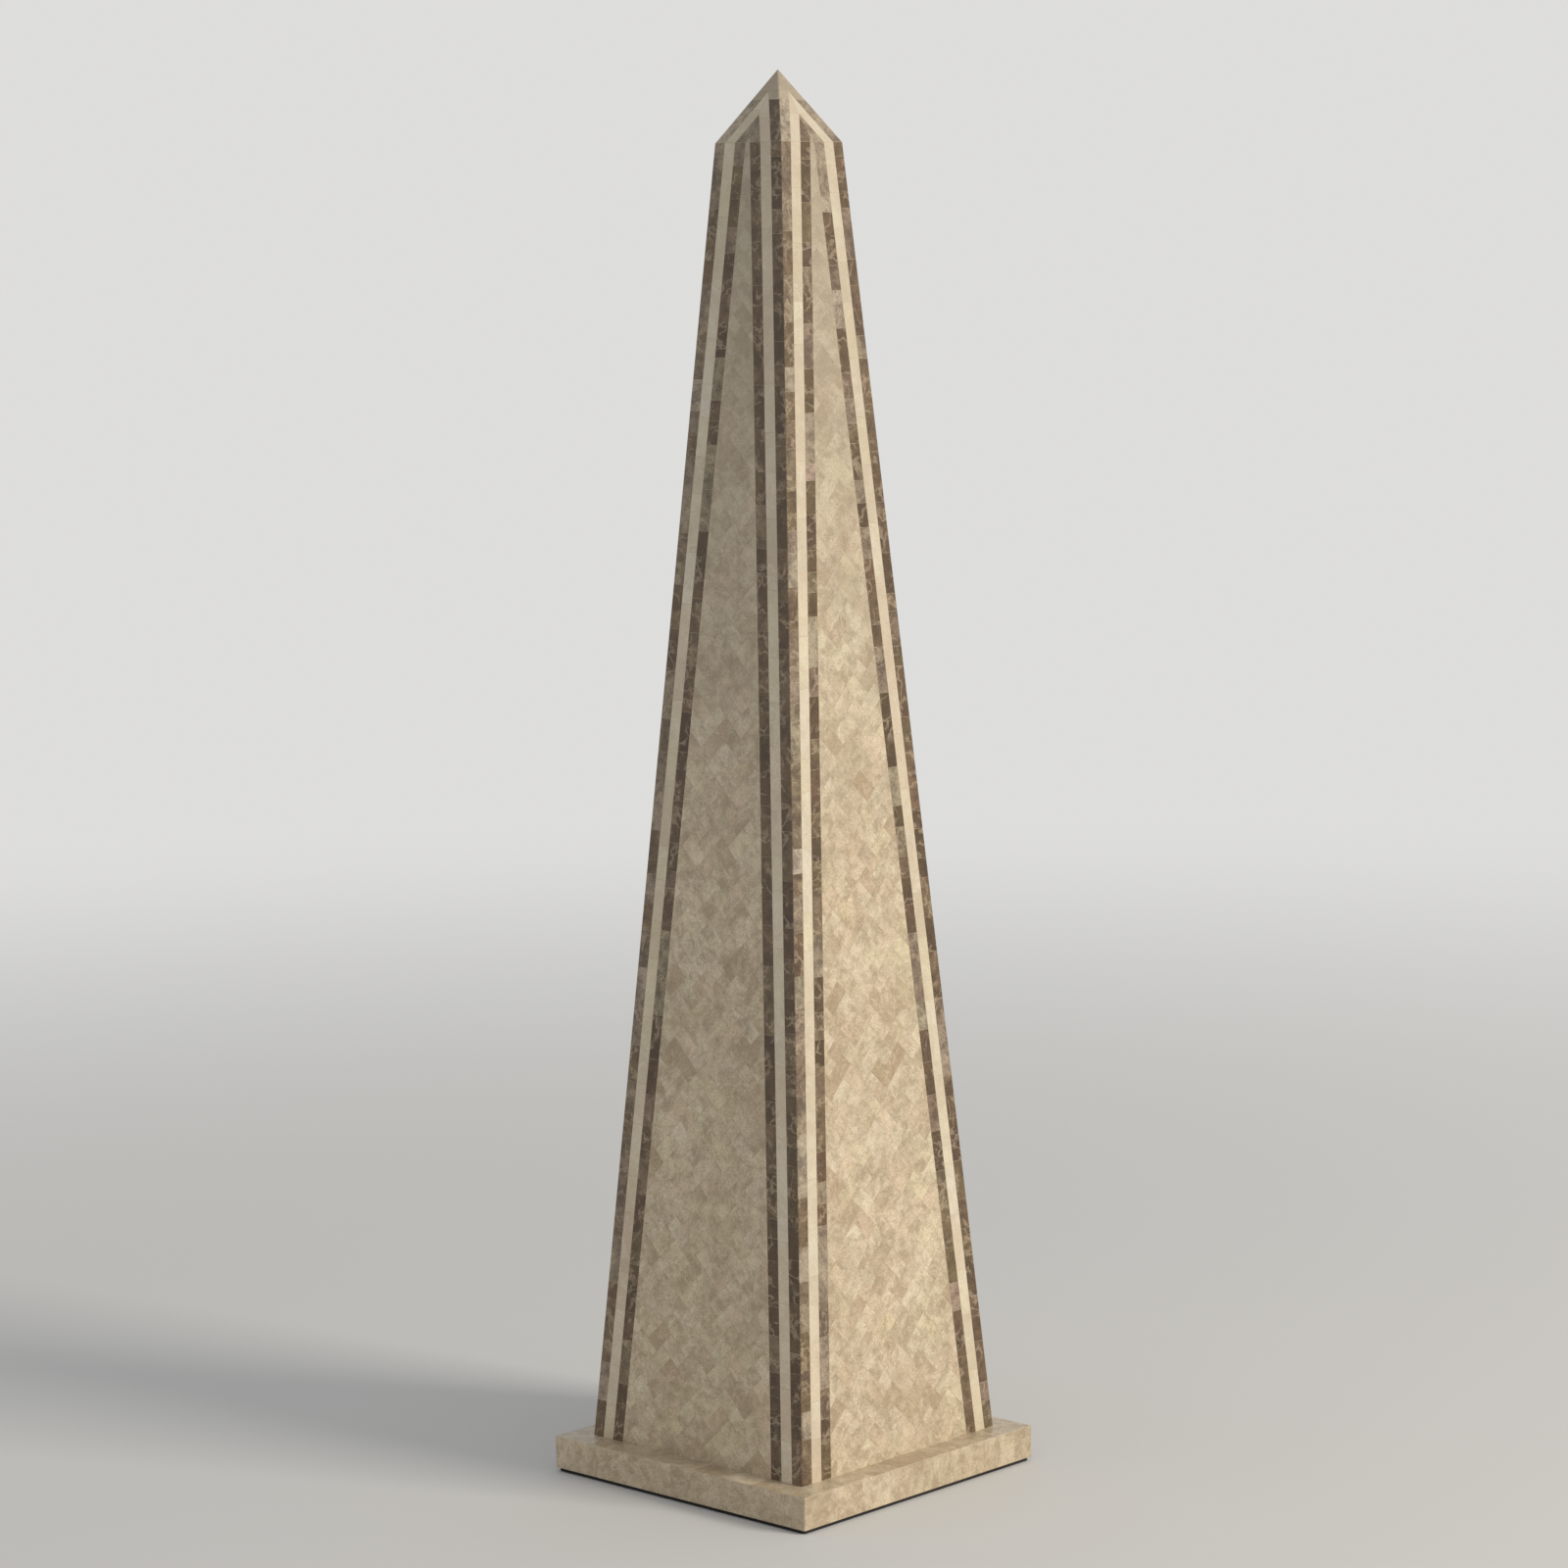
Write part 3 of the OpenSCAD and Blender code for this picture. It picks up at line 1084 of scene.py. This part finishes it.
# A plain pale floor that fades into the backdrop, a large soft key light in front and weaker light around.
studio = {
    "floorRadius": 12.0,
    "floorSides": 96,
    "floorRoughness": 0.9,
    "floorGap": 0.1 * mm,
    "fadeFrom": 0.8,
    "fadeTo": 4.5,
    "floorColour": paint(0.80, 0.79, 0.775),
    "skyColour": paint(0.915, 0.93, 0.945),
    "skyStrength": 0.68,
    "backdropColour": paint(0.87, 0.868, 0.862),
    "keyAzimuth": math.radians(16),
    "keyElevation": math.radians(25),
    "keyDistance": 7.0,
    "keySize": 2.2,
    "keyPower": 380,
    "keyColour": (1.0, 0.948, 0.855),
}


def makeFloor(look):
    shape = bmesh.new()
    bmesh.ops.create_circle(shape, cap_ends=True, segments=look["floorSides"], radius=look["floorRadius"])
    mesh = bpy.data.meshes.new("studio_floor")
    shape.to_mesh(mesh)
    shape.free()
    material, tree, shader = newMaterial("studio_floor")
    shader["Base Color"].default_value = look["floorColour"]
    shader["Roughness"].default_value = look["floorRoughness"]
    place = addNode(tree, "ShaderNodeTexCoord").outputs["Object"]
    away = addNode(tree, "ShaderNodeVectorMath", {"operation": "LENGTH"}, {"Vector": place}).outputs["Value"]
    faded = spread(tree, away, look["fadeFrom"], look["fadeTo"], 1, 0, smooth=True)
    # clear when it is seen from below, so that the underside of the object can be looked at
    below = addNode(tree, "ShaderNodeNewGeometry").outputs["Backfacing"]
    fromAbove = arithmetic(tree, "SUBTRACT", 1, below)
    tree.links.new(arithmetic(tree, "MULTIPLY", faded, fromAbove), shader["Alpha"])
    mesh.materials.append(material)
    floor = bpy.data.objects.new("studio_floor", mesh)
    floor.location.z = -look["floorGap"]
    bpy.context.scene.collection.objects.link(floor)


def makeSky(look):
    # the backdrop that is seen is paler than the light that it gives
    world = bpy.data.worlds.new("studio")
    world.use_nodes = True
    tree = world.node_tree
    sky = tree.nodes["Background"]
    sky.inputs["Color"].default_value = look["skyColour"]
    sky.inputs["Strength"].default_value = look["skyStrength"]
    backdrop = addNode(tree, "ShaderNodeBackground", inputs={"Color": look["backdropColour"]})
    seen = addNode(tree, "ShaderNodeMixShader")
    tree.links.new(addNode(tree, "ShaderNodeLightPath").outputs["Is Camera Ray"], seen.inputs[0])
    tree.links.new(sky.outputs[0], seen.inputs[1])
    tree.links.new(backdrop.outputs[0], seen.inputs[2])
    tree.links.new(seen.outputs[0], tree.nodes["World Output"].inputs["Surface"])
    bpy.context.scene.world = world


def makeKeyLight(look):
    key = bpy.data.objects.new("key_light", bpy.data.lights.new("key_light", "AREA"))
    key.data.energy = look["keyPower"]
    key.data.size = look["keySize"]
    key.data.color = look["keyColour"]
    azimuth, elevation = look["keyAzimuth"], look["keyElevation"]
    level = math.cos(elevation)
    away = Vector((math.sin(azimuth) * level, -math.cos(azimuth) * level, math.sin(elevation)))
    key.location = away * look["keyDistance"] + Vector((0, 0, tip / 2))
    key.rotation_euler = away.to_track_quat("Z", "Y").to_euler()
    bpy.context.scene.collection.objects.link(key)


makeFloor(studio)
makeSky(studio)
makeKeyLight(studio)
bpy.context.scene.view_settings.view_transform = "Standard"
print("studio lit")
